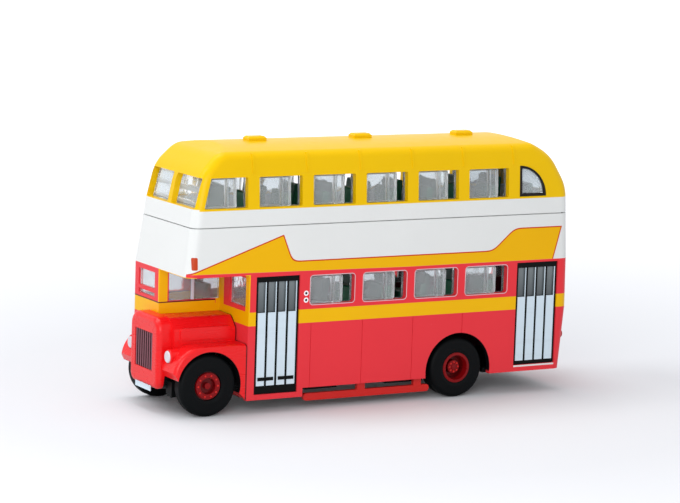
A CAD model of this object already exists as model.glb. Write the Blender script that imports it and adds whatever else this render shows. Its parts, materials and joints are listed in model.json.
"""Looks for a small die-cast model of a half-cab double decker bus.

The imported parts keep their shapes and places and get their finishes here. Small trim is
modelled here: wheel nuts, blank plates, the bar over the cab's side window and base screws.
Names that end in _mm, and the shader groups' lengths, are millimetres in the model's frame,
where +X is ahead, +Y is the nearside with the doors and +Z is up. The rest is in metres.
"""
import functools
import json
import logging
import math
from dataclasses import dataclass
from enum import Enum
from typing import ClassVar

import bmesh
import bpy
from mathutils import Matrix, Quaternion, Vector


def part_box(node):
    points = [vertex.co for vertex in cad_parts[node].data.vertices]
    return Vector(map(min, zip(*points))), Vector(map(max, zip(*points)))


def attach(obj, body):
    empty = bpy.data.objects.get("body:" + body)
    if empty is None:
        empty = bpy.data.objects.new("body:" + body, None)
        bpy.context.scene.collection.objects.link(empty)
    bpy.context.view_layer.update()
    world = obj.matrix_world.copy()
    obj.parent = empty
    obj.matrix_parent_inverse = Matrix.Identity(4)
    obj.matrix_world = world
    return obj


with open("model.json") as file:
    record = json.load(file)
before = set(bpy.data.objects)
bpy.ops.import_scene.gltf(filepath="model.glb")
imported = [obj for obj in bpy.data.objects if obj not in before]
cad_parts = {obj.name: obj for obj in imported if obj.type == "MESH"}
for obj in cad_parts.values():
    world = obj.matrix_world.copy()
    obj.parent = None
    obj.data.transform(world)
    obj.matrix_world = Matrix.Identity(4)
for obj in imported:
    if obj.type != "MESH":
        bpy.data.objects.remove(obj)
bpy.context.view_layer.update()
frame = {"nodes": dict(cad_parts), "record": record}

Node = bpy.types.Node
Socket = bpy.types.NodeSocket
Piece = bpy.types.Object
Sockets = dict[str, Socket]
Layers = list[tuple[Socket, str]]
Pair = tuple[float, float]
Triple = tuple[float, float, float]
Quad = tuple[float, float, float, float]
LOG = logging.getLogger("bus")
MM = 0.001
FAR_MM = 99.0  # past the whole model
SOFT_MM = 0.03  # how softly a printed edge ends
FACING = 0.9  # least cosine between a face that looks in a direction and that direction
SMOOTH_ANGLE = math.radians(35)
FLOAT = "NodeSocketFloat"
VECTOR = "NodeSocketVector"
COLOUR = "NodeSocketColor"


class Body(Enum):
    """Moving bodies of the model."""

    BUS = "bus"
    FRONT_WHEELS = "front_wheels"
    REAR_WHEELS = "rear_wheels"


class Slot(Enum):
    """Material slots that new pieces take their finish from."""

    PLATE = "door_pale"
    NUTS = "guard_red"
    STEEL = "axle_steel"


def linear(code: str) -> Quad:
    """Turn a written colour into scene-linear values.

    Args:
        code: Six hexadecimal digits after a hash sign.

    Returns:
        Red, green, blue and an alpha of one.
    """
    shares = [int(code[start:start + 2], 16) / 255 for start in (1, 3, 5)]
    values = [share / 12.92 if share <= 0.04045 else ((share + 0.055) / 1.055) ** 2.4 for share in shares]
    return (*values, 1.0)


class Graph:
    """Short calls for the nodes of one shader tree."""

    def __init__(self, tree: bpy.types.NodeTree) -> None:
        """Keep the tree that the calls add to."""
        self.tree = tree

    def fill(self, node: Node, feeds: dict) -> Node:
        """Set or link some of a node's inputs.

        Args:
            node: The node.
            feeds: Values or sockets for its inputs, by name or place.

        Returns:
            The same node.
        """
        for key, value in feeds.items():
            if isinstance(value, bpy.types.NodeSocket):
                self.tree.links.new(value, node.inputs[key])
            else:
                node.inputs[key].default_value = value
        return node

    def add(self, kind: str, feeds: dict | None = None, **settings: object) -> Node:
        """Add a node.

        Args:
            kind: Blender's name of the node's type.
            feeds: Values or sockets for its inputs, by name or place.
            settings: The node's own properties.

        Returns:
            The new node.
        """
        node = self.tree.nodes.new(kind)
        for name, value in settings.items():
            setattr(node, name, value)
        return self.fill(node, feeds or {})

    def use(self, effect: type["Effect"], **feeds: object) -> Node:
        """Place a shared effect in this tree.

        Args:
            effect: The effect's class.
            feeds: Values or sockets for its named inputs, such as half_width for Half width.

        Returns:
            The group node.
        """
        named = {name.replace("_", " ").capitalize(): value for name, value in feeds.items()}
        return self.add("ShaderNodeGroup", named, node_tree=effect.shared_tree())

    def math(self, operation: str, *values: object, clamp: bool = False) -> Socket:
        """Result of one step of arithmetic on numbers or sockets."""
        feeds = dict(enumerate(values))
        return self.add("ShaderNodeMath", feeds, operation=operation, use_clamp=clamp).outputs[0]

    def product(self, *values: object) -> Socket:
        """Some numbers or sockets multiplied together."""
        return functools.reduce(lambda first, second: self.math("MULTIPLY", first, second), values)

    def length(self, vector: object) -> Socket:
        """How long a vector is."""
        return self.add("ShaderNodeVectorMath", {0: vector}, operation="LENGTH").outputs["Value"]

    def blend(self, share: object, first: object, second: object) -> Socket:
        """Colour that goes from the first to the second with a share."""
        feeds = {0: share, 6: first, 7: second}
        return self.add("ShaderNodeMix", feeds, data_type="RGBA").outputs[2]

    def span(self, value: object, low: float, high: float, to_low: float, to_high: float) -> Socket:
        """Map a value from one range to another, held at its ends."""
        feeds = {0: value, 1: low, 2: high, 3: to_low, 4: to_high}
        return self.add("ShaderNodeMapRange", feeds).outputs[0]

    def noise(self, place: object, scale: object, detail: float = 2.0) -> Socket:
        """Even noise at a place, with a scale in waves per millimetre."""
        return self.add("ShaderNodeTexNoise", {"Vector": place, "Scale": scale, "Detail": detail}).outputs[0]


class Effect:
    """A shader node group with named sockets, built once and placed in many materials."""

    title: ClassVar[str] = ""
    takes: ClassVar[dict[str, tuple[str, object]]] = {}
    gives: ClassVar[dict[str, str]] = {}

    @classmethod
    def wire(cls, graph: Graph, given: Sockets) -> Sockets:
        """Wire the group's nodes.

        Args:
            graph: The group's own tree.
            given: The group's inputs by name.

        Returns:
            The sockets that leave the group, by name.
        """
        raise NotImplementedError

    @classmethod
    def shared_tree(cls) -> bpy.types.NodeTree:
        """Make the effect's node group at the first call.

        Returns:
            The node group.
        """
        made = bpy.data.node_groups.get(cls.title)
        if made:
            return made
        tree = bpy.data.node_groups.new(cls.title, "ShaderNodeTree")
        for name, (kind, value) in cls.takes.items():
            socket = tree.interface.new_socket(name, in_out="INPUT", socket_type=kind)
            if value is not None:
                socket.default_value = value
        for name, kind in cls.gives.items():
            tree.interface.new_socket(name, in_out="OUTPUT", socket_type=kind)
        graph = Graph(tree)
        start = graph.add("NodeGroupInput")
        end = graph.add("NodeGroupOutput")
        graph.fill(end, cls.wire(graph, {socket.name: socket for socket in start.outputs if socket.name}))
        return tree


class Place(Effect):
    """Object coordinates in millimetres."""

    title = "Place in millimetres"
    takes = {"Vector": (VECTOR, None)}
    gives = {"Place": VECTOR, "X": FLOAT, "Y": FLOAT, "Z": FLOAT}

    @classmethod
    def wire(cls, graph: Graph, given: Sockets) -> Sockets:
        """Scale the coordinates and part them.

        Args:
            graph: The group's own tree.
            given: The group's inputs by name.

        Returns:
            The place, whole and along each axis.
        """
        feeds = {0: given["Vector"], "Scale": 1 / MM}
        scaled = graph.add("ShaderNodeVectorMath", feeds, operation="SCALE").outputs[0]
        parts = graph.add("ShaderNodeSeparateXYZ", {0: scaled}).outputs
        return {"Place": scaled, "X": parts[0], "Y": parts[1], "Z": parts[2]}


class Band(Effect):
    """Mask of what lies between two values, with a soft edge."""

    title = "Band"
    takes = {"Value": (FLOAT, 0.0), "Low": (FLOAT, 0.0), "High": (FLOAT, 1.0), "Soft": (FLOAT, SOFT_MM)}
    gives = {"Mask": FLOAT}

    @classmethod
    def wire(cls, graph: Graph, given: Sockets) -> Sockets:
        """Take the nearer edge's distance over the softness.

        Args:
            graph: The group's own tree.
            given: The group's inputs by name.

        Returns:
            The mask, half at each edge.
        """
        above = graph.math("SUBTRACT", given["Value"], given["Low"])
        below = graph.math("SUBTRACT", given["High"], given["Value"])
        share = graph.math("DIVIDE", graph.math("MINIMUM", above, below), given["Soft"])
        return {"Mask": graph.math("ADD", share, 0.5, clamp=True)}


class RoundedBox(Effect):
    """Distance outside a rectangle with rounded corners, less than zero inside."""

    title = "Rounded box"
    takes = {"Across": (FLOAT, 0.0), "Up": (FLOAT, 0.0), "Half width": (FLOAT, 1.0),
             "Half height": (FLOAT, 1.0), "Corner": (FLOAT, 0.2)}
    gives = {"Distance": FLOAT}

    @classmethod
    def wire(cls, graph: Graph, given: Sockets) -> Sockets:
        """Measure from the inner rectangle and take the corner off.

        Args:
            graph: The group's own tree.
            given: The group's inputs by name.

        Returns:
            The distance.
        """
        over = []
        for along, half in (("Across", "Half width"), ("Up", "Half height")):
            reach = graph.math("SUBTRACT", given[half], given["Corner"])
            over.append(graph.math("SUBTRACT", graph.math("ABSOLUTE", given[along]), reach))
        squares = [graph.math("POWER", graph.math("MAXIMUM", part, 0.0), 2.0) for part in over]
        outside = graph.math("SQRT", graph.math("ADD", *squares))
        inside = graph.math("MINIMUM", graph.math("MAXIMUM", *over), 0.0)
        return {"Distance": graph.math("SUBTRACT", graph.math("ADD", outside, inside), given["Corner"])}


class FromCentre(Effect):
    """Distance from a place in the side view, such as an axle."""

    title = "From centre"
    takes = {"X": (FLOAT, 0.0), "Z": (FLOAT, 0.0), "At x": (FLOAT, 0.0), "At z": (FLOAT, 0.0)}
    gives = {"Distance": FLOAT}

    @classmethod
    def wire(cls, graph: Graph, given: Sockets) -> Sockets:
        """Measure the offset from the place.

        Args:
            graph: The group's own tree.
            given: The group's inputs by name.

        Returns:
            The distance.
        """
        along = graph.math("SUBTRACT", given["X"], given["At x"])
        up = graph.math("SUBTRACT", given["Z"], given["At z"])
        return {"Distance": graph.length(graph.add("ShaderNodeCombineXYZ", {0: along, 2: up}).outputs[0])}


class HalfPlane(Effect):
    """Distance past a straight line in the side view, less than zero behind it."""

    title = "Half plane"
    takes = {"X": (FLOAT, 0.0), "Z": (FLOAT, 0.0), "At x": (FLOAT, 0.0), "At z": (FLOAT, 0.0),
             "Lean": (FLOAT, 0.0)}
    gives = {"Distance": FLOAT}

    @classmethod
    def wire(cls, graph: Graph, given: Sockets) -> Sockets:
        """Turn the offset from a place on the line by the line's lean from level.

        Args:
            graph: The group's own tree.
            given: The group's inputs by name.

        Returns:
            The distance.
        """
        along = graph.math("SUBTRACT", given["X"], given["At x"])
        up = graph.math("SUBTRACT", given["Z"], given["At z"])
        sideways = graph.product(along, graph.math("SINE", given["Lean"]))
        upwards = graph.product(up, graph.math("COSINE", given["Lean"]))
        return {"Distance": graph.math("ADD", sideways, upwards)}


class Skin(Effect):
    """What every skin gives, and the steps that they share."""

    gives = {"Colour": COLOUR, "Roughness": FLOAT, "Height": FLOAT}
    fine_detail: ClassVar[float] = 3.0
    gloss_reach: ClassVar[float]

    @classmethod
    def swing(cls, graph: Graph, pattern: Socket, reach: object) -> Socket:
        """A pattern about zero, times its reach."""
        return graph.product(graph.math("SUBTRACT", pattern, 0.5), reach)

    @classmethod
    def toned(cls, graph: Graph, given: Sockets, pattern: Socket) -> Socket:
        """Make the colour lighter and darker with a pattern.

        Args:
            graph: The group's own tree.
            given: The group's inputs by name.
            pattern: The pattern, from zero to one.

        Returns:
            The toned colour.
        """
        bright = graph.math("ADD", cls.swing(graph, pattern, given["Tone"]), 1.0)
        return graph.add("ShaderNodeHueSaturation", {"Value": bright, "Color": given["Colour"]}).outputs[0]

    @classmethod
    def roughened(cls, graph: Graph, given: Sockets, pattern: Socket) -> Socket:
        """The roughness, raised and lowered by a pattern."""
        return graph.math("ADD", given["Roughness"], cls.swing(graph, pattern, cls.gloss_reach))


class EnamelSkin(Skin):
    """Sprayed enamel on a casting: orange peel, slow shifts of tone and a few specks."""

    title = "Enamel skin"
    takes = {"Place": (VECTOR, None), "Colour": (COLOUR, None), "Tone": (FLOAT, 0.05),
             "Roughness": (FLOAT, 0.3), "Peel scale": (FLOAT, 1.4)}
    cloud_scale: ClassVar[float] = 0.12
    gloss_scale: ClassVar[float] = 0.6
    gloss_reach: ClassVar[float] = 0.12
    speck_scale: ClassVar[float] = 0.8
    speck_edge: ClassVar[Pair] = (0.02, 0.035)
    speck_chance: ClassVar[float] = 0.07
    speck_colour: ClassVar[str] = "#F4F0EA"
    speck_strength: ClassVar[float] = 0.35
    speck_height: ClassVar[float] = 0.6

    @classmethod
    def wire(cls, graph: Graph, given: Sockets) -> Sockets:
        """Lay the peel, the tone and the specks over a plain colour.

        Args:
            graph: The group's own tree.
            given: The group's inputs by name.

        Returns:
            The colour, the roughness and the height.
        """
        place = given["Place"]
        peel = graph.noise(place, given["Peel scale"])
        cloud = graph.noise(place, cls.cloud_scale, cls.fine_detail)
        cell = graph.add("ShaderNodeTexVoronoi", {"Vector": place, "Scale": cls.speck_scale})
        mark = graph.span(cell.outputs["Distance"], *cls.speck_edge, 1.0, 0.0)
        draw = graph.add("ShaderNodeSeparateColor", {0: cell.outputs["Color"]}).outputs[0]
        speck = graph.product(mark, graph.math("GREATER_THAN", draw, 1 - cls.speck_chance))
        share = graph.product(speck, cls.speck_strength)
        return {"Colour": graph.blend(share, cls.toned(graph, given, cloud), linear(cls.speck_colour)),
                "Roughness": cls.roughened(graph, given, graph.noise(place, cls.gloss_scale)),
                "Height": graph.math("ADD", peel, graph.product(speck, cls.speck_height))}


class MouldedSkin(Skin):
    """Injection-moulded plastic: a fine satin texture and faint flow streaks."""

    title = "Moulded skin"
    takes = {"Place": (VECTOR, None), "Colour": (COLOUR, None), "Tone": (FLOAT, 0.1),
             "Roughness": (FLOAT, 0.4), "Grain scale": (FLOAT, 6.0)}
    drawn_out: ClassVar[Triple] = (0.15, 0.5, 1.0)
    streak_scale: ClassVar[float] = 0.8
    streak_height: ClassVar[float] = 0.4
    gloss_reach: ClassVar[float] = 0.2

    @classmethod
    def wire(cls, graph: Graph, given: Sockets) -> Sockets:
        """Lay grain and streaks over a plain colour.

        Args:
            graph: The group's own tree.
            given: The group's inputs by name.

        Returns:
            The colour, the roughness and the height.
        """
        grain = graph.noise(given["Place"], given["Grain scale"], cls.fine_detail)
        drawn = graph.add("ShaderNodeMapping", {0: given["Place"], "Scale": cls.drawn_out}).outputs[0]
        streak = graph.noise(drawn, cls.streak_scale, cls.fine_detail)
        return {"Colour": cls.toned(graph, given, streak),
                "Roughness": cls.roughened(graph, given, streak),
                "Height": graph.math("ADD", grain, graph.product(streak, cls.streak_height))}


class Swoosh(Effect):
    """The golden flash along the sides and its open edges. Places are along and up."""

    title = "Swoosh"
    takes = {"X": (FLOAT, 0.0), "Z": (FLOAT, 0.0), "Base": (FLOAT, 0.0)}
    gives = {"Gold": FLOAT, "Line": FLOAT}
    start_mm: ClassVar[Pair] = (33.7, 22.6)
    peak_mm: ClassVar[Pair] = (17.4, 28.1)
    valley_mm: ClassVar[Pair] = (15.85, 24.0)
    strip_front_mm: ClassVar[float] = 16.6
    strip_top_mm: ClassVar[float] = 23.92
    rise_foot_mm: ClassVar[Pair] = (-21.0, 23.6)
    rise_head_mm: ClassVar[Pair] = (-25.6, 27.44)
    rear_head_mm: ClassVar[Pair] = (-34.7, 27.44)
    rear_foot_mm: ClassVar[Pair] = (-33.1, 22.3)
    line_mm: ClassVar[float] = 0.2
    bend_mm: ClassVar[float] = 1.2
    wide_bend_mm: ClassVar[float] = 1.7
    tight_bend_mm: ClassVar[float] = 0.25

    @classmethod
    def line_through(cls, graph: Graph, given: Sockets, first: Pair, second: Pair) -> Socket:
        """Measure from a line that runs from one place to another.

        Args:
            graph: The group's own tree.
            given: The group's inputs by name.
            first: Place where the line starts.
            second: Place where it ends.

        Returns:
            The distance, above zero on the upper side of a line that runs rearwards.
        """
        lean = math.atan2(first[1] - second[1], second[0] - first[0])
        at_x, at_z = first
        return graph.use(HalfPlane, x=given["X"], z=given["Z"], at_x=at_x, at_z=at_z, lean=lean).outputs[0]

    @classmethod
    def wire(cls, graph: Graph, given: Sockets) -> Sockets:
        """Join the fin, the strip and the rear block.

        Args:
            graph: The group's own tree.
            given: The group's inputs by name.

        Returns:
            Masks of the gold and of the line along its open edges.
        """
        # Each shape is a distance, less than zero inside: the larger of two cuts, the smaller joins.
        fin_top = cls.line_through(graph, given, cls.peak_mm, cls.start_mm)
        fin_rear = cls.line_through(graph, given, cls.valley_mm, cls.peak_mm)
        fin = graph.math("SMOOTH_MAX", fin_top, fin_rear, cls.tight_bend_mm)
        strip = graph.math("MAXIMUM", graph.math("SUBTRACT", given["Z"], cls.strip_top_mm),
                           graph.math("SUBTRACT", given["X"], cls.strip_front_mm))
        rise = cls.line_through(graph, given, cls.rise_head_mm, cls.rise_foot_mm)
        block_top = graph.math("SUBTRACT", given["Z"], cls.rise_head_mm[1])
        block = graph.math("SMOOTH_MAX", rise, block_top, cls.bend_mm)
        rear = cls.line_through(graph, given, cls.rear_foot_mm, cls.rear_head_mm)
        joined = graph.math("SMOOTH_MIN", strip, block, cls.bend_mm)
        joined = graph.math("SMOOTH_MIN", joined, fin, cls.wide_bend_mm)
        shape = graph.math("MAXIMUM", joined, rear)
        base = graph.math("SUBTRACT", given["Base"], given["Z"])
        gold = graph.use(Band, value=graph.math("MAXIMUM", shape, base), low=-FAR_MM, high=0.0)
        edge = graph.use(Band, value=shape, low=-cls.line_mm / 2, high=cls.line_mm / 2)
        over = graph.math("GREATER_THAN", given["Z"], given["Base"])
        return {"Gold": gold.outputs[0], "Line": graph.product(edge.outputs[0], over)}


class PaneEdges(Effect):
    """Moulded rims of the panes in a row of windows, and the upright bar in each."""

    title = "Pane edges"
    takes = {"X": (FLOAT, 0.0), "Z": (FLOAT, 0.0), "Front": (FLOAT, 0.0), "Pitch": (FLOAT, 9.6),
             "Width": (FLOAT, 7.6), "Low": (FLOAT, 0.0), "High": (FLOAT, 1.0), "Count": (FLOAT, 6.0)}
    gives = {"Mask": FLOAT}
    pane_share: ClassVar[float] = 0.75
    corner_mm: ClassVar[float] = 0.35
    rim_mm: ClassVar[float] = 0.13
    rim_over_mm: ClassVar[float] = 0.1
    rim_soft_mm: ClassVar[float] = 0.12
    bar_share: ClassVar[float] = 0.55
    bar_mm: ClassVar[float] = 0.22
    bar_soft_mm: ClassVar[float] = 0.1
    bar_strength: ClassVar[float] = 0.9

    @classmethod
    def wire(cls, graph: Graph, given: Sockets) -> Sockets:
        """Fold the row into one bay and take the outline of its pane.

        Args:
            graph: The group's own tree.
            given: The group's inputs by name.

        Returns:
            The mask.
        """
        # A pane fills the front share of its window, and the rest is an open gap.
        low, high = given["Low"], given["High"]
        from_front = graph.math("SUBTRACT", given["Front"], given["X"])
        in_bay = graph.math("FLOORED_MODULO", from_front, given["Pitch"])
        half_pane = graph.product(given["Width"], cls.pane_share / 2)
        middle = graph.product(graph.math("ADD", low, high), 0.5)
        box = graph.use(RoundedBox, across=graph.math("SUBTRACT", in_bay, half_pane),
                        up=graph.math("SUBTRACT", given["Z"], middle), half_width=half_pane,
                        half_height=graph.product(graph.math("SUBTRACT", high, low), 0.5),
                        corner=cls.corner_mm).outputs[0]
        rim = graph.use(Band, value=box, low=-cls.rim_mm, high=cls.rim_over_mm, soft=cls.rim_soft_mm)
        bar_rear = graph.product(given["Width"], cls.bar_share)
        bar_front = graph.math("SUBTRACT", bar_rear, cls.bar_mm)
        bar = graph.use(Band, value=in_bay, low=bar_front, high=bar_rear, soft=cls.bar_soft_mm)
        marks = graph.math("MAXIMUM", rim.outputs[0], graph.product(bar.outputs[0], cls.bar_strength))
        inside = graph.use(Band, value=given["Z"], low=low, high=high).outputs[0]
        reach = graph.product(given["Pitch"], given["Count"])
        in_row = graph.use(Band, value=from_front, low=-cls.rim_mm, high=reach).outputs[0]
        return {"Mask": graph.product(marks, inside, in_row)}


@dataclass(frozen=True)
class Stencil:
    """Masks cut by places on the model.

    Args:
        graph: The tree that the masks are made in.
        place: The node that gives the place in millimetres.
    """

    graph: Graph
    place: Node

    def at(self, axis: str) -> Socket:
        """The place along X, Y or Z, or the whole Place."""
        return self.place.outputs[axis]

    def within(self, value: Socket, low: float, high: float, soft: float = SOFT_MM) -> Socket:
        """Mask of where a value lies between two others."""
        return self.graph.use(Band, value=value, low=low, high=high, soft=soft).outputs[0]

    def band(self, axis: str, low: float, high: float, soft: float = SOFT_MM) -> Socket:
        """Mask of what lies between two places along an axis."""
        return self.within(self.at(axis), low, high, soft)

    def rectangle(self, x: Pair, z: Pair) -> Socket:
        """Mask of a plain rectangle in the side view."""
        return self.graph.product(self.band("X", *x), self.band("Z", *z))

    def disc(self, x: float, z: float, radius: float) -> Socket:
        """Mask of a disc in the side view."""
        reach = self.graph.use(FromCentre, x=self.at("X"), z=self.at("Z"), at_x=x, at_z=z)
        return self.within(reach.outputs[0], -FAR_MM, radius)

    def out(self) -> Socket:
        """How far out to either side of the model's middle."""
        return self.graph.math("ABSOLUTE", self.at("Y"))

    def over(self, value: Socket, limit: float) -> Socket:
        """One where a value is greater than a limit, or else zero."""
        return self.graph.math("GREATER_THAN", value, limit)


@dataclass(frozen=True)
class Finish:
    """A finish that dresses parts or pieces.

    Args:
        title: The material's name.
        colour: Its main colour as written.
        roughness: How far its gloss spreads.
        relief_mm: How high its bump stands.
        shine: How much it mirrors, half being plain plastic.
    """

    title: str
    colour: str
    roughness: float = 0.4
    relief_mm: float = 0.01
    shine: float = 0.3

    def colour_at(self, cut: Stencil) -> object:
        """The colour before grain and tone, plain unless a finish paints more."""
        return linear(self.colour)

    def skin(self, cut: Stencil) -> Node:
        """The effect that gives the finish its grain."""
        return cut.graph.use(MouldedSkin, place=cut.at("Place"), colour=self.colour_at(cut),
                             roughness=self.roughness)

    def surface(self, cut: Stencil) -> list[Socket]:
        """Colour, roughness and height of the finish, in that order."""
        skin = self.skin(cut)
        return [skin.outputs[name] for name in ("Colour", "Roughness", "Height")]

    def set_shader(self, graph: Graph, shader: Node) -> None:
        """Set more of the shader's own values, where a finish needs them."""

    def material(self) -> bpy.types.Material:
        """Make the finish's material at the first call.

        Returns:
            The material.
        """
        made = bpy.data.materials.get(self.title)
        if made:
            return made
        made = bpy.data.materials.new(self.title)
        made.use_nodes = True
        graph = Graph(made.node_tree)
        source = graph.add("ShaderNodeTexCoord").outputs["Object"]
        colour, rough, height = self.surface(Stencil(graph, graph.use(Place, vector=source)))
        bump = graph.add("ShaderNodeBump", {"Height": height, "Distance": self.relief_mm * MM})
        shader = made.node_tree.nodes["Principled BSDF"]
        graph.fill(shader, {"Base Color": colour, "Roughness": rough, "Normal": bump.outputs[0],
                            "Specular IOR Level": self.shine})
        self.set_shader(graph, shader)
        return made


@dataclass(frozen=True)
class Enamel(Finish):
    """Gloss enamel on a casting.

    Args:
        coat: How much clear gloss lies over the colour.
        coat_roughness: How far that gloss spreads.
        tone: How far the tone drifts over the casting.
    """

    coat: float = 0.04
    coat_roughness: float = 0.12
    tone: float = 0.06

    def skin(self, cut: Stencil) -> Node:
        """Orange peel over whatever the livery paints."""
        return cut.graph.use(EnamelSkin, place=cut.at("Place"), colour=self.colour_at(cut),
                             roughness=self.roughness, tone=self.tone)

    def set_shader(self, graph: Graph, shader: Node) -> None:
        """Lay the clear gloss."""
        graph.fill(shader, {"Coat Weight": self.coat, "Coat Roughness": self.coat_roughness})


@dataclass(frozen=True)
class RoofLivery(Enamel):
    """Yellow roof with a white strip at its foot.

    Args:
        white: Colour of the strip.
        waist_mm: Height where the yellow starts.
        front_rise_mm: How much higher it starts on the front.
        front_mm: Where the front begins.
    """

    white: str = "#DCDEDD"
    waist_mm: float = 32.3
    front_rise_mm: float = 0.25
    front_mm: float = 32.0

    def colour_at(self, cut: Stencil) -> Socket:
        """Paint yellow over white.

        Args:
            cut: The material's masks.

        Returns:
            The painted colour.
        """
        lift = cut.graph.product(cut.over(cut.at("X"), self.front_mm), self.front_rise_mm)
        height = cut.graph.math("SUBTRACT", cut.at("Z"), lift)
        yellow = cut.within(height, self.waist_mm, FAR_MM)
        return cut.graph.blend(yellow, linear(self.white), linear(self.colour))


@dataclass(frozen=True)
class BodyLivery(Enamel):
    """White over red, with yellow bands, the golden flash and printed trim.

    Args:
        white: Colour between the decks and of the rear door's sill.
        yellow: Colour of the bands and pillars.
        gold: Colour of the flash.
        line: Colour of the flash's edge.
        reflector: Colour of the corner reflectors.
        bead: Colour of the thin edge round the windows.
        cab_line: Colour of the thin line over the cab's band.
        button_colours: Colours of a push button's ring and of its middle.
        inside: Colour of the saloon's inner walls.
        well: Colour inside the rear arches.
        side_mm: How far out a side's outer face lies, at least.
        deck_mm: Height where the white starts.
        deck_rise_mm: On the sides, where it starts to rise, where it stops and by how much.
        band_mm: Foot and head of the yellow band.
        cab_mm: Where the cab begins.
        cab_band_mm: Foot and head of the cab's band, and the head of the line over it.
        cab_pillar_mm: Rear and front of the cab's yellow pillar.
        cab_side_mm: How far across the cab's pillar begins.
        post_mm: Rear and front of the wall behind the bonnet.
        post_red_mm: The stretch across that wall that stays red.
        window_front_mm: Front edge of the row of windows.
        window_rear_mm: Rear edge of the row.
        window_margin_mm: How far past the row the beads may reach.
        window_mm: Foot and head of a window.
        window_width_mm: Its width.
        window_pitch_mm: From one window to the next.
        window_corner_mm: Radius of its corners.
        bead_mm: Where the bead starts and ends outside a window.
        sill_mm: Rear, front, foot and head of the rear door's sill.
        button_mm: Where the push buttons are along the bus, and both heights.
        button_radii_mm: Radii of a button's ring and of its middle.
        reflector_mm: Middle of a reflector along and up, and half its width and height.
        reflector_corner_mm: Radius of its corners.
        inside_mm: Rear and front of the saloon, and how far out its walls lie.
        arch_mm: Middle of the rear arches along and up, and their radius.
    """

    white: str = "#DCDEDD"
    yellow: str = "#EAB300"
    gold: str = "#E6AE00"
    line: str = "#C23812"
    reflector: str = "#B83E1A"
    bead: str = "#C9C6CC"
    cab_line: str = "#4A1A20"
    button_colours: tuple[str, str] = ("#F2EEF2", "#14100F")
    inside: str = "#4A121C"
    well: str = "#0C0E10"
    side_mm: float = 9.0
    deck_mm: float = 22.14
    deck_rise_mm: Triple = (-5.0, 33.0, 0.46)
    band_mm: Pair = (14.03, 16.2)
    cab_mm: float = 24.2
    cab_band_mm: Triple = (14.35, 16.68, 16.86)
    cab_pillar_mm: Pair = (32.6, 34.3)
    cab_side_mm: float = -0.3
    post_mm: Pair = (23.2, 24.1)
    post_red_mm: Pair = (1.4, 8.85)
    window_front_mm: float = 12.5
    window_rear_mm: float = -24.25
    window_margin_mm: float = 1.0
    window_mm: Pair = (16.92, 21.5)
    window_width_mm: float = 7.99
    window_pitch_mm: float = 9.5875
    window_corner_mm: float = 0.5
    bead_mm: Pair = (0.025, 0.12)
    sill_mm: Quad = (-34.1, -26.2, 4.35, 4.62)
    button_mm: Triple = (13.24, 18.77, 17.68)
    button_radii_mm: Pair = (0.42, 0.2)
    reflector_mm: Quad = (32.85, 24.25, 0.46, 0.98)
    reflector_corner_mm: float = 0.2
    inside_mm: Triple = (-35.4, 22.9, 9.02)
    arch_mm: Triple = (-15.4, 4.62, 6.13)

    def colour_at(self, cut: Stencil) -> Socket:
        """Paint the casting from the ground colour up to the small prints.

        Args:
            cut: The material's masks.

        Returns:
            The painted colour.
        """
        paint: object = linear(self.colour)
        for prints in (self.bands, self.trim, self.upper, self.hollows):
            for mask, colour in prints(cut):
                paint = cut.graph.blend(mask, paint, linear(colour))
        return paint

    def bands(self, cut: Stencil) -> Layers:
        """Print the bands, the cab's red and the yellow posts.

        Args:
            cut: The material's masks.

        Returns:
            Masks with their colours, the lowest first.
        """
        product = cut.graph.product
        foot, head, line_head = self.cab_band_mm
        in_cab = cut.band("X", self.cab_mm, FAR_MM)
        pillar = cut.rectangle(self.cab_pillar_mm, (line_head, self.deck_mm))
        post = cut.rectangle(self.post_mm, (self.band_mm[1], self.deck_mm))
        post_edges = cut.graph.math("SUBTRACT", 1.0, cut.band("Y", *self.post_red_mm))
        return [(cut.band("Z", *self.band_mm), self.yellow),
                (in_cab, self.colour),
                (product(cut.band("Z", foot, head), in_cab), self.yellow),
                (product(cut.band("Z", head, line_head), in_cab), self.cab_line),
                (product(pillar, cut.over(cut.at("Y"), self.cab_side_mm)), self.yellow),
                (product(post, post_edges), self.yellow)]

    def trim(self, cut: Stencil) -> Layers:
        """Print the windows' beads, the rear door's sill and the push buttons.

        Args:
            cut: The material's masks.

        Returns:
            Masks with their colours, the lowest first.
        """
        product = cut.graph.product
        nearside = cut.over(cut.at("Y"), self.side_mm)
        edge = cut.within(self.window_distance(cut), *self.bead_mm)
        in_row = cut.band("X", self.window_rear_mm - self.window_margin_mm,
                          self.window_front_mm + self.window_margin_mm)
        sill = cut.rectangle(self.sill_mm[:2], self.sill_mm[2:])
        layers = [(product(edge, cut.over(cut.out(), self.side_mm), in_row), self.bead),
                  (product(sill, nearside), self.white)]
        x, *heights = self.button_mm
        for z in heights:
            for radius, colour in zip(self.button_radii_mm, self.button_colours):
                layers.append((product(cut.disc(x, z, radius), nearside), colour))
        return layers

    def window_distance(self, cut: Stencil) -> Socket:
        """Measure outside the nearest window of the repeated row.

        Args:
            cut: The material's masks.

        Returns:
            The distance.
        """
        low, high = self.window_mm
        start = self.window_front_mm + (self.window_pitch_mm - self.window_width_mm) / 2
        from_start = cut.graph.math("SUBTRACT", start, cut.at("X"))
        in_bay = cut.graph.math("FLOORED_MODULO", from_start, self.window_pitch_mm)
        return cut.graph.use(RoundedBox, across=cut.graph.math("SUBTRACT", in_bay, self.window_pitch_mm / 2),
                             up=cut.graph.math("SUBTRACT", cut.at("Z"), (low + high) / 2),
                             half_width=self.window_width_mm / 2, half_height=(high - low) / 2,
                             corner=self.window_corner_mm).outputs[0]

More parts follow.
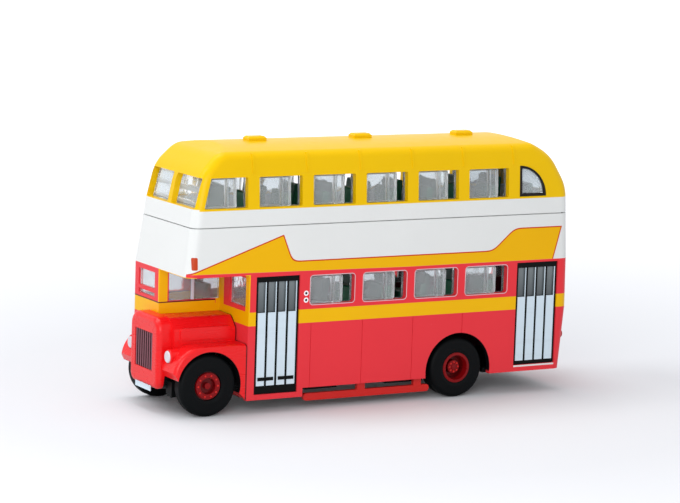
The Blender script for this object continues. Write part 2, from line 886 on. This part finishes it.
    def upper(self, cut: Stencil) -> Layers:
        """Print the white, the flash and the corner reflectors.

        Args:
            cut: The material's masks.

        Returns:
            Masks with their colours, the lowest first.
        """
        graph, along, up = cut.graph, cut.at("X"), cut.at("Z")
        on_side = cut.over(cut.out(), self.side_mm)
        from_x, to_x, rise = self.deck_rise_mm
        side_rise = graph.product(graph.span(along, from_x, to_x, 0.0, rise), on_side)
        deck = graph.math("ADD", side_rise, self.deck_mm)
        white = cut.within(graph.math("SUBTRACT", up, deck), 0.0, FAR_MM)
        flash = graph.use(Swoosh, x=along, z=up, base=deck).outputs
        x, z, half_width, half_height = self.reflector_mm
        box = graph.use(RoundedBox, across=graph.math("SUBTRACT", along, x), up=graph.math("SUBTRACT", up, z),
                        half_width=half_width, half_height=half_height, corner=self.reflector_corner_mm)
        return [(white, self.white),
                (graph.product(flash["Gold"], on_side), self.gold),
                (graph.product(flash["Line"], on_side), self.line),
                (cut.within(box.outputs[0], -FAR_MM, 0.0), self.reflector)]

    def hollows(self, cut: Stencil) -> Layers:
        """Print the saloon's inner walls and the rear arches.

        Args:
            cut: The material's masks.

        Returns:
            Masks with their colours, the lowest first.
        """
        rear, front, wall = self.inside_mm
        between = cut.graph.math("LESS_THAN", cut.out(), wall)
        return [(cut.graph.product(between, cut.band("X", rear, front)), self.inside),
                (cut.disc(*self.arch_mm), self.well)]


@dataclass(frozen=True)
class PaneRow:
    """A row of window panes of one size.

    Args:
        front_mm: Front edge of the row.
        pitch_mm: From one window to the next.
        width_mm: Width of a window.
        low_mm: Foot of the panes.
        high_mm: Head of the panes.
        count: How many there are.
    """

    front_mm: float
    pitch_mm: float
    width_mm: float
    low_mm: float
    high_mm: float
    count: float


@dataclass(frozen=True)
class ClearPlastic(Finish):
    """Thick clear moulding with a slight wave and pale rims.

    Args:
        rows: The rows of panes on the upper and the lower deck.
        wave_scale: Waves in the moulding for each millimetre.
        tone: How far its tone drifts.
        rim_frost: How much rougher the rims are.
        rim_height: How high the rims stand, as a multiple of the waves' relief.
        passes: How much light goes through.
        bending: Its index of refraction.
        shade: How much of its shadow is left out.
    """

    rows: tuple[PaneRow, ...] = (PaneRow(31.19, 9.6, 7.54, 32.67, 37.3, 6.0),
                                 PaneRow(12.44, 9.5875, 7.93, 16.98, 21.44, 5.0))
    wave_scale: float = 0.5
    tone: float = 0.04
    rim_frost: float = 0.5
    rim_height: float = 1.6
    passes: float = 0.87
    bending: float = 1.5
    shade: float = 0.85

    def skin(self, cut: Stencil) -> Node:
        """Slow waves in the moulding and a light haze."""
        return cut.graph.use(EnamelSkin, place=cut.at("Place"), colour=self.colour_at(cut),
                             roughness=self.roughness, tone=self.tone, peel_scale=self.wave_scale)

    def surface(self, cut: Stencil) -> list[Socket]:
        """Frost the rims and bars of the panes and raise them a little.

        Args:
            cut: The material's masks.

        Returns:
            The colour, the roughness and the height.
        """
        masks = [cut.graph.use(PaneEdges, x=cut.at("X"), z=cut.at("Z"), front=row.front_mm,
                               pitch=row.pitch_mm, width=row.width_mm, low=row.low_mm,
                               high=row.high_mm, count=row.count).outputs[0] for row in self.rows]
        rims = cut.graph.math("MAXIMUM", *masks)
        colour, rough, height = super().surface(cut)
        return [colour, cut.graph.math("ADD", rough, cut.graph.product(rims, self.rim_frost)),
                cut.graph.math("ADD", height, cut.graph.product(rims, self.rim_height))]

    def set_shader(self, graph: Graph, shader: Node) -> None:
        """Let light through, and let it fall on the benches behind.

        Args:
            graph: The material's tree.
            shader: Its shader.
        """
        path = graph.add("ShaderNodeLightPath")
        passed = graph.product(path.outputs["Is Shadow Ray"], self.shade)
        graph.fill(shader, {"Transmission Weight": self.passes, "IOR": self.bending,
                            "Alpha": graph.math("SUBTRACT", 1.0, passed)})


@dataclass(frozen=True)
class TintedPane(Finish):
    """Pane of a door, printed grey and darker towards its foot.

    Args:
        foot: Colour at its foot.
        foot_mm: Height where it is darkest.
        head_mm: Height where it is palest.
    """

    foot: str = "#454C50"
    foot_mm: float = 15.5
    head_mm: float = 20.5

    def colour_at(self, cut: Stencil) -> Socket:
        """Fade from the foot to the head."""
        share = cut.graph.span(cut.at("Z"), self.foot_mm, self.head_mm, 0.0, 1.0)
        return cut.graph.blend(share, linear(self.foot), linear(self.colour))


@dataclass(frozen=True)
class HubEnamel(Finish):
    """Red wheel centre, dark in its dish.

    Args:
        coat: How much clear gloss lies over the colour.
        dish: Colour down in the dish.
        dish_soft_mm: How softly the dish's colour ends.
        middle_mm: A place along the bus between the axles.
        front_mm: How far out the front dishes end.
        rear_mm: How far out the rear dishes end.
    """

    coat: float = 0.08
    dish: str = "#5E060A"
    dish_soft_mm: float = 0.2
    middle_mm: float = 7.0
    front_mm: float = 9.32
    rear_mm: float = 8.5

    def colour_at(self, cut: Stencil) -> Socket:
        """Darken what lies below the end of the dish, which is deeper at the rear.

        Args:
            cut: The material's masks.

        Returns:
            The painted colour.
        """
        ahead = cut.over(cut.at("X"), self.middle_mm)
        end = cut.graph.span(ahead, 0.0, 1.0, self.rear_mm, self.front_mm)
        past = cut.graph.math("SUBTRACT", cut.out(), end)
        raised = cut.within(past, 0.0, FAR_MM, self.dish_soft_mm)
        return cut.graph.blend(raised, linear(self.dish), linear(self.colour))

    def set_shader(self, graph: Graph, shader: Node) -> None:
        """Lay a clear gloss."""
        graph.fill(shader, {"Coat Weight": self.coat})


@dataclass(frozen=True)
class GrilleFinish(Finish):
    """Slats whose front edges are rubbed pale, over a dark plate.

    Args:
        plate: Colour of the plate behind the slats.
        front_mm: Where the slats' front edges begin.
    """

    plate: str = "#0A0305"
    front_mm: float = 36.42

    def colour_at(self, cut: Stencil) -> Socket:
        """Pale ahead of the slats' front edges."""
        edge = cut.band("X", self.front_mm, FAR_MM)
        return cut.graph.blend(edge, linear(self.plate), linear(self.colour))


@dataclass(frozen=True)
class WingMoulding(Finish):
    """Red moulding with black wheel wells and a dark seam at its rear end.

    Args:
        well: Colour inside the arches.
        arch_mm: Middle of the arches along and up, and their radius.
        seam: Colour of the seam.
        seam_mm: Where the seam ends along the bus.
        seam_soft_mm: How softly it ends.
    """

    well: str = "#0C0E10"
    arch_mm: Triple = (29.9, 4.9, 5.48)
    seam: str = "#3C080B"
    seam_mm: float = 23.6
    seam_soft_mm: float = 0.1

    def colour_at(self, cut: Stencil) -> Socket:
        """Paint the arches black inside and darken the seam.

        Args:
            cut: The material's masks.

        Returns:
            The painted colour.
        """
        rear = cut.band("X", -FAR_MM, self.seam_mm, self.seam_soft_mm)
        seamed = cut.graph.blend(rear, linear(self.colour), linear(self.seam))
        return cut.graph.blend(cut.disc(*self.arch_mm), seamed, linear(self.well))


FINISHES: dict[str, Finish] = {
    "roof_yellow": RoofLivery("Roof enamel", "#E6B900", roughness=0.32, relief_mm=0.012, shine=0.12),
    "body_red": BodyLivery("Body enamel", "#E0353E", roughness=0.34, relief_mm=0.012, shine=0.12),
    "bonnet_red": WingMoulding("Bonnet moulding", "#E21318", roughness=0.28, relief_mm=0.012, shine=0.3),
    "grille_black": GrilleFinish("Grille slats", "#7C4E58", roughness=0.45, shine=0.1),
    "lamp_clear": Finish("Lamp lens", "#CFCBD2", roughness=0.18, shine=0.5),
    "chassis_black": Finish("Chassis moulding", "#07090A", roughness=0.5, shine=0.1),
    "guard_red": Finish("Red moulding", "#C81C16", roughness=0.35),
    "tyre_rubber": Finish("Tyre rubber", "#07090B", roughness=0.55, shine=0.08),
    "hub_red": HubEnamel("Hub enamel", "#7E060C", roughness=0.3, shine=0.12),
    "axle_steel": Finish("Axle steel", "#A9ABAE", roughness=0.3, shine=0.5),
    "seat_green": Finish("Bench moulding", "#175038", roughness=0.4),
    "door_black": Finish("Door frame", "#040606", roughness=0.4, shine=0.1),
    "door_pale": Finish("Door leaf", "#CCDCE7", roughness=0.3, shine=0.2),
    "clear": ClearPlastic("Clear moulding", "#EEF3F6", roughness=0.05, relief_mm=0.05, shine=0.5),
    "quarter_rubber": Finish("Quarter frame", "#120C0D", roughness=0.35, shine=0.2),
    "lamp_red": Finish("Rear lamp", "#A80D12", roughness=0.2, shine=0.5),
    "cab_grey": Finish("Cab fittings", "#565B5E", roughness=0.4),
}
TINTED = TintedPane("Door pane", "#6E7679", roughness=0.1, relief_mm=0.02, shine=0.5)
TINTED_NODES = ("front_door_glass", "rear_door_glass")


class Modeller:
    """Steps of hand modelling that the trim classes share."""

    @staticmethod
    def clear_selection() -> None:
        """Leave nothing selected."""
        if bpy.context.object and bpy.context.object.mode != "OBJECT":
            bpy.ops.object.mode_set(mode="OBJECT")
        bpy.ops.object.select_all(action="DESELECT")

    @staticmethod
    def take_up(*pieces: Piece) -> None:
        """Select some pieces and nothing else.

        Args:
            pieces: The pieces, of which the first one becomes active.
        """
        Modeller.clear_selection()
        for piece in pieces:
            piece.select_set(True)
        bpy.context.view_layer.objects.active = pieces[0]

    @staticmethod
    def name_active(name: str) -> Piece:
        """Name the active piece and its mesh.

        Args:
            name: The name for both.

        Returns:
            The piece.
        """
        piece = bpy.context.object
        piece.name = name
        piece.data.name = name
        return piece

    @staticmethod
    def settle(piece: Piece) -> None:
        """Put the piece's place and size into its mesh."""
        Modeller.take_up(piece)
        bpy.ops.object.transform_apply(location=True, rotation=True, scale=True)

    @staticmethod
    def block(name: str, middle_mm: Triple, size_mm: Triple, turn: float = 0.0) -> Piece:
        """Add a block at its size and place, as the start of a piece.

        Args:
            name: The piece's name.
            middle_mm: Its middle.
            size_mm: Its size along each axis.
            turn: Degrees that it is turned about an upright line.

        Returns:
            The block, with its place in its mesh.
        """
        Modeller.clear_selection()
        bpy.ops.mesh.primitive_cube_add(size=1, location=Vector(middle_mm) * MM,
                                        rotation=(0, 0, math.radians(turn)))
        piece = Modeller.name_active(name)
        piece.scale = Vector(size_mm) * MM
        Modeller.settle(piece)
        return piece

    @staticmethod
    def rod(name: str, sides: int, radius_mm: float, height_mm: float, middle: Vector,
            tilt: float = 0.0) -> Piece:
        """Add a many-sided rod at its size and place, as the start of a piece.

        Args:
            name: The piece's name.
            sides: How many sides it has.
            radius_mm: Its radius at the corners.
            height_mm: Its height.
            middle: Its middle, in metres.
            tilt: Degrees that it is tilted about the line ahead.

        Returns:
            The rod, with its place in its mesh.
        """
        Modeller.clear_selection()
        bpy.ops.mesh.primitive_cylinder_add(vertices=sides, radius=radius_mm * MM, depth=height_mm * MM,
                                            location=middle, rotation=(math.radians(tilt), 0, 0))
        piece = Modeller.name_active(name)
        Modeller.settle(piece)
        return piece

    @staticmethod
    def choose_facing(direction: Triple) -> None:
        """Select the faces of the edited mesh that look in a direction.

        Args:
            direction: A direction one unit long.
        """
        bpy.ops.mesh.select_mode(type="FACE")
        bpy.ops.mesh.select_all(action="DESELECT")
        edited = bmesh.from_edit_mesh(bpy.context.object.data)
        for face in edited.faces:
            face.select_set(face.normal.dot(Vector(direction)) > FACING)
        bmesh.update_edit_mesh(bpy.context.object.data)

    @staticmethod
    def soften(piece: Piece, width_mm: float) -> None:
        """Round a piece's edges with a bevel that is applied.

        Args:
            piece: The piece.
            width_mm: Width of the bevel.
        """
        Modeller.take_up(piece)
        bevel = piece.modifiers.new("soft edges", "BEVEL")
        bevel.width = width_mm * MM
        bevel.segments = 2
        bevel.limit_method = "ANGLE"
        bpy.ops.object.modifier_apply(modifier=bevel.name)
        bpy.ops.object.shade_smooth_by_angle(angle=SMOOTH_ANGLE)

    @staticmethod
    def copy_moved(piece: Piece, move: Matrix) -> Piece:
        """Copy a piece, with its own mesh.

        Args:
            piece: The piece.
            move: Where the copy goes.

        Returns:
            The copy.
        """
        twin = piece.copy()
        twin.data = piece.data.copy()
        bpy.context.scene.collection.objects.link(twin)
        twin.data.transform(move)
        return twin

    @staticmethod
    def dress(piece: Piece, slot: Slot, body: Body) -> Piece:
        """Give a new piece its finish and its body.

        Args:
            piece: The finished piece, at the origin with its place in its mesh.
            slot: The material slot that it takes its finish from.
            body: The body that it moves with.

        Returns:
            The same piece.
        """
        piece.data.materials.clear()
        piece.data.materials.append(FINISHES[slot.value].material())
        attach(piece, body.value)
        LOG.info("%s: %d faces on %s", piece.name, len(piece.data.polygons), body.value)
        return piece


@dataclass
class PackedParts:
    """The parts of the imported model, each dressed in its slot's finish.

    Args:
        nodes: The parts by name.
        slots: The material slot of each.
    """

    nodes: dict[str, Piece]
    slots: dict[str, str]

    def dress(self) -> None:
        """Put each part's finish in its material slots."""
        for name, node in self.nodes.items():
            finish = TINTED if name in TINTED_NODES else FINISHES[self.slots[name]]
            for slot in node.material_slots:
                slot.material = finish.material()
            LOG.info("%s wears %s", name, finish.title)


@dataclass
class BlankPlates:
    """Bare plates low on the front shell and on the rear panel, each with a raised rim.

    Args:
        width_mm: A plate's width.
        height_mm: Its height.
        thickness_mm: Its thickness.
        rim_mm: Width of its rim.
        front_y_mm: The front plate's middle across the bus.
        front_base_mm: Height of the front plate's lower edge.
        rear_base_mm: Height of the rear plate's lower edge.
        seat_mm: How deep a plate sits in its face.
    """

    width_mm: float = 5.4
    height_mm: float = 0.85
    thickness_mm: float = 0.16
    rim_mm: float = 0.09
    front_y_mm: float = 0.2
    front_base_mm: float = 3.35
    rear_base_mm: float = 6.6
    seat_mm: float = 0.03

    def build(self) -> list[Piece]:
        """Model both plates.

        Returns:
            The two pieces.
        """
        front_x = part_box("bonnet")[1].x / MM
        rear_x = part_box("lower_body")[0].x / MM
        return [self.plate("front_plate", front_x, self.front_y_mm, self.front_base_mm, 1),
                self.plate("rear_plate", rear_x, 0.0, self.rear_base_mm, -1)]

    def plate(self, name: str, face_mm: float, middle_mm: float, base_mm: float, outward: int) -> Piece:
        """Model one plate on a face across the bus.

        Args:
            name: The piece's name.
            face_mm: Where the face lies along the bus.
            middle_mm: The plate's middle across the bus.
            base_mm: Height of its lower edge.
            outward: One where the face looks ahead, minus one where it looks back.

        Returns:
            The plate.
        """
        x_mm = face_mm + outward * (self.thickness_mm / 2 - self.seat_mm)
        piece = Modeller.block(name, (x_mm, middle_mm, base_mm + self.height_mm / 2),
                               (self.thickness_mm, self.width_mm, self.height_mm))
        bpy.ops.object.mode_set(mode="EDIT")
        Modeller.choose_facing((outward, 0, 0))
        bpy.ops.mesh.inset(thickness=self.rim_mm * MM)
        bpy.ops.transform.translate(value=(-outward * self.rim_mm / 2 * MM, 0, 0))
        bpy.ops.object.mode_set(mode="OBJECT")
        Modeller.soften(piece, self.rim_mm / 4)
        return Modeller.dress(piece, Slot.PLATE, Body.BUS)


@dataclass
class CabWindowBar:
    """Upright bar over the pane that looks from the cab onto the bonnet.

    Args:
        x_mm: Its middle along the bus.
        width_mm: Its width.
        depth_mm: Its inner and its outer face.
        height_mm: Its foot and its head.
    """

    x_mm: float = 28.15
    width_mm: float = 0.55
    depth_mm: Pair = (-0.34, -0.08)
    height_mm: Pair = (16.95, 22.0)

    def build(self) -> Piece:
        """Model the bar.

        Returns:
            The bar.
        """
        inner, outer = self.depth_mm
        foot, head = self.height_mm
        piece = Modeller.block("cab_window_bar", (self.x_mm, (inner + outer) / 2, (foot + head) / 2),
                               (self.width_mm, outer - inner, head - foot))
        Modeller.soften(piece, self.width_mm / 8)
        return Modeller.dress(piece, Slot.PLATE, Body.BUS)


@dataclass
class WheelNuts:
    """A ring of small nuts on a wheel centre.

    Args:
        hub: The part that they stand on.
        body: The body that it moves with.
        count: How many nuts there are.
        ring_mm: Radius of the ring.
        seat_mm: How far in from the hub's outer end a nut's middle lies.
        radius_mm: A nut's radius at its corners.
        height_mm: Its height.
        sides: How many sides it has.
    """

    hub: str
    body: Body
    count: int
    ring_mm: float
    seat_mm: float
    radius_mm: float = 0.17
    height_mm: float = 0.16
    sides: int = 6

    def build(self) -> Piece:
        """Model one nut, copy it round the wheel and join the ring.

        Returns:
            The ring of nuts.
        """
        low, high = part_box(self.hub)
        centre = (low + high) / 2
        outward = 1 if centre.y > 0 else -1
        face = high.y if outward > 0 else low.y
        middle = Vector((centre.x + self.ring_mm * MM, face - outward * self.seat_mm * MM, centre.z))
        nut = Modeller.rod(self.hub + "_nut", self.sides, self.radius_mm, self.height_mm, middle, tilt=90)
        bpy.ops.object.mode_set(mode="EDIT")
        Modeller.choose_facing((0, outward, 0))
        bpy.ops.mesh.bevel(offset=self.radius_mm * MM / 4, segments=2)
        bpy.ops.object.mode_set(mode="OBJECT")
        nuts = [nut]
        for step in range(1, self.count):
            turn = Matrix.Rotation(step * math.tau / self.count, 4, "Y")
            about = Matrix.Translation(centre) @ turn @ Matrix.Translation(-centre)
            nuts.append(Modeller.copy_moved(nut, about))
        Modeller.take_up(*nuts)
        bpy.ops.object.join()
        ring = Modeller.name_active(self.hub.replace("_hub", "_nuts"))
        return Modeller.dress(ring, Slot.NUTS, self.body)


@dataclass
class BaseScrews:
    """Two cross-headed screws in the bores under the chassis.

    Args:
        places_mm: Where the bores are along the bus.
        face_mm: Height of the face that the heads bear on.
        head_radius_mm: A head's radius.
        head_height_mm: Its height.
        shank_radius_mm: The shank's radius.
        shank_mm: The shank's length.
        cross_mm: Length, width and depth of one arm of the cross.
        sides: How many sides a head has.
        dome_steps: How many faces round its edge.
    """

    places_mm: Pair = (16.9, -3.4)
    face_mm: float = 3.6
    head_radius_mm: float = 1.05
    head_height_mm: float = 0.35
    shank_radius_mm: float = 0.5
    shank_mm: float = 4.0
    cross_mm: Triple = (1.2, 0.22, 0.2)
    sides: int = 24
    dome_steps: int = 3

    def build(self) -> list[Piece]:
        """Model one screw and copy it to the other bore.

        Returns:
            Both screws.
        """
        first = self.model("base_screw_front")
        step = Vector((self.places_mm[1] - self.places_mm[0], 0, 0)) * MM
        second = Modeller.copy_moved(first, Matrix.Translation(step))
        second.name = "base_screw_rear"
        second.data.name = "base_screw_rear"
        return [Modeller.dress(screw, Slot.STEEL, Body.BUS) for screw in (first, second)]

    def model(self, name: str) -> Piece:
        """Shape a domed head on a shank, with a cross cut in it.

        Args:
            name: The screw's name.

        Returns:
            The screw in the first bore.
        """
        middle = Vector((self.places_mm[0], 0, self.face_mm - self.head_height_mm / 2)) * MM
        screw = Modeller.rod(name, self.sides, self.head_radius_mm, self.head_height_mm, middle)
        bpy.ops.object.mode_set(mode="EDIT")
        Modeller.choose_facing((0, 0, -1))
        bpy.ops.mesh.bevel(offset=self.head_height_mm / 2 * MM, segments=self.dome_steps)
        Modeller.choose_facing((0, 0, 1))
        bpy.ops.mesh.inset(thickness=(self.head_radius_mm - self.shank_radius_mm) * MM)
        bpy.ops.mesh.extrude_region_move(TRANSFORM_OT_translate={"value": (0, 0, self.shank_mm * MM)})
        bpy.ops.object.mode_set(mode="OBJECT")
        for turn in (0, 90):
            self.cut(screw, turn)
        bpy.ops.object.shade_smooth_by_angle(angle=SMOOTH_ANGLE)
        return screw

    def cut(self, screw: Piece, turn: float) -> None:
        """Cut one arm of the cross with a block that is then removed.

        Args:
            screw: The screw.
            turn: Degrees that the arm is turned from the line ahead.
        """
        long_mm, wide_mm, deep_mm = self.cross_mm
        end_mm = self.face_mm - self.head_height_mm
        block = Modeller.block("cutting block", (self.places_mm[0], 0, end_mm),
                               (long_mm, wide_mm, 2 * deep_mm), turn)
        Modeller.take_up(screw)
        cutter = screw.modifiers.new("cross", "BOOLEAN")
        cutter.operation = "DIFFERENCE"
        cutter.object = block
        bpy.ops.object.modifier_apply(modifier=cutter.name)
        bpy.data.objects.remove(block)


@dataclass(frozen=True)
class Lamp:
    """A square soft lamp aimed at the middle of the model.

    Args:
        name: Its name.
        place: Where it hangs.
        size: Its side.
        watts: Its power.
    """

    name: str
    place: Triple
    size: float
    watts: float
    aim: ClassVar[Triple] = (0, 0, 0.02)

    def hang(self) -> None:
        """Add the lamp to the scene."""
        light = bpy.data.lights.new(self.name, "AREA")
        light.size = self.size
        light.energy = self.watts
        lamp = bpy.data.objects.new(self.name, light)
        bpy.context.scene.collection.objects.link(lamp)
        lamp.location = self.place
        lamp.rotation_euler = (Vector(self.place) - Vector(self.aim)).to_track_quat("Z", "Y").to_euler()


@dataclass(frozen=True)
class Studio:
    """Pale floor, white surroundings and soft lamps.

    Args:
        floor_size: The floor's side.
        floor_colour: Its colour.
        floor_roughness: How matt it is.
        floor_lift: How strongly it glows to the eye near the model and far off.
        lift_from: How far from the middle the glow starts to grow, and where it ends.
        daylight: Strength of the plain light all round.
        lamps: The lamps.
    """

    floor_size: float = 12.0
    floor_colour: str = "#D8DADF"
    floor_roughness: float = 0.9
    floor_lift: Pair = (0.02, 0.6)
    lift_from: Pair = (0.06, 0.36)
    daylight: float = 0.62
    lamps: tuple[Lamp, ...] = (Lamp("key lamp", (0.46, -0.16, 0.50), 0.30, 1.2),
                               Lamp("fill lamp", (0.20, 0.26, 0.12), 0.16, 0.48),
                               Lamp("top lamp", (0.05, -0.12, 0.60), 0.35, 1.6))

    def build(self) -> None:
        """Make the floor, the world and the lamps."""
        self.make_floor()
        self.make_world()
        for lamp in self.lamps:
            lamp.hang()

    def make_floor(self) -> None:
        """Lay a pale floor that stays white to the camera outside the shadow."""
        Modeller.clear_selection()
        bpy.ops.mesh.primitive_grid_add(x_subdivisions=2, y_subdivisions=2, size=self.floor_size)
        floor = Modeller.name_active("floor")
        material = bpy.data.materials.new("Pale floor")
        material.use_nodes = True
        graph = Graph(material.node_tree)
        away = graph.length(graph.add("ShaderNodeTexCoord").outputs["Object"])
        glow = graph.product(self.seen(graph), graph.span(away, *self.lift_from, *self.floor_lift))
        graph.fill(material.node_tree.nodes["Principled BSDF"],
                   {"Base Color": linear(self.floor_colour), "Roughness": self.floor_roughness,
                    "Specular IOR Level": 0.0, "Emission Color": (1, 1, 1, 1), "Emission Strength": glow})
        floor.data.materials.append(material)

    @staticmethod
    def seen(graph: Graph) -> Socket:
        """Tell what the eye, a gloss or a clear piece looks at from what plain light does.

        Args:
            graph: The tree of the material or the world.

        Returns:
            One for what is looked at, and zero for plain light.
        """
        path = graph.add("ShaderNodeLightPath").outputs
        straight = graph.math("MAXIMUM", path["Is Camera Ray"], path["Is Glossy Ray"])
        return graph.math("MAXIMUM", straight, path["Is Transmission Ray"])

    def make_world(self) -> None:
        """Make all round white to the eye, and a plain level of light."""
        world = bpy.data.worlds.new("White room")
        bpy.context.scene.world = world
        world.use_nodes = True
        graph = Graph(world.node_tree)
        strength = graph.span(self.seen(graph), 0.0, 1.0, self.daylight, 1.0)
        graph.fill(world.node_tree.nodes["Background"], {"Color": (1, 1, 1, 1), "Strength": strength})


@dataclass(frozen=True)
class Viewpoint:
    """The photograph's camera.

    Args:
        azimuth: Degrees round from the nearside towards the front.
        elevation: Degrees above level.
        roll: Degrees that the camera leans.
        distance_mm: From the lens to the place that it looks at.
        target_mm: The place that it looks at.
        lens_pixels: The lens's length in widths of a pixel.
        picture_width: Pixels across the picture.
        nearest: How near the camera starts to see.
    """

    azimuth: float = 29.671
    elevation: float = 8.505
    roll: float = 1.909
    distance_mm: float = 457.4
    target_mm: Triple = (1.699, 0.0, 23.43)
    lens_pixels: float = 2820.9
    picture_width: int = 680
    nearest: float = 0.01

    def build(self) -> bpy.types.Object:
        """Set up the camera.

        Returns:
            The camera.
        """
        around, above = math.radians(self.azimuth), math.radians(self.elevation)
        level = math.cos(above)
        back = Vector((math.sin(around) * level, math.cos(around) * level, math.sin(above)))
        data = bpy.data.cameras.new("photo camera")
        data.sensor_fit = "HORIZONTAL"
        data.lens = self.lens_pixels / self.picture_width * data.sensor_width
        data.clip_start = self.nearest
        camera = bpy.data.objects.new("photo camera", data)
        bpy.context.scene.collection.objects.link(camera)
        camera.location = (Vector(self.target_mm) + self.distance_mm * back) * MM
        camera.rotation_mode = "QUATERNION"
        lean = Quaternion((0, 0, 1), math.radians(self.roll))
        camera.rotation_quaternion = back.to_track_quat("Z", "Y") @ lean
        bpy.context.scene.camera = camera
        return camera


def main() -> None:
    """Build the view, the studio, the finishes and the trim in order."""
    logging.basicConfig(level=logging.INFO, format="%(name)s: %(message)s")
    bpy.context.scene.view_settings.view_transform = "Standard"
    Viewpoint().build()
    Studio().build()
    slots = {part["node"]: part["material_slot"] for part in frame["record"]["subparts"]}
    PackedParts(frame["nodes"], slots).dress()
    BlankPlates().build()
    CabWindowBar().build()
    for side in ("nearside", "offside"):
        WheelNuts(f"front_{side}_hub", Body.FRONT_WHEELS, count=10, ring_mm=1.7, seat_mm=-0.04).build()
        WheelNuts(f"rear_{side}_hub", Body.REAR_WHEELS, count=8, ring_mm=0.78, seat_mm=0.76).build()
    BaseScrews().build()


if __name__ == "__main__":
    main()
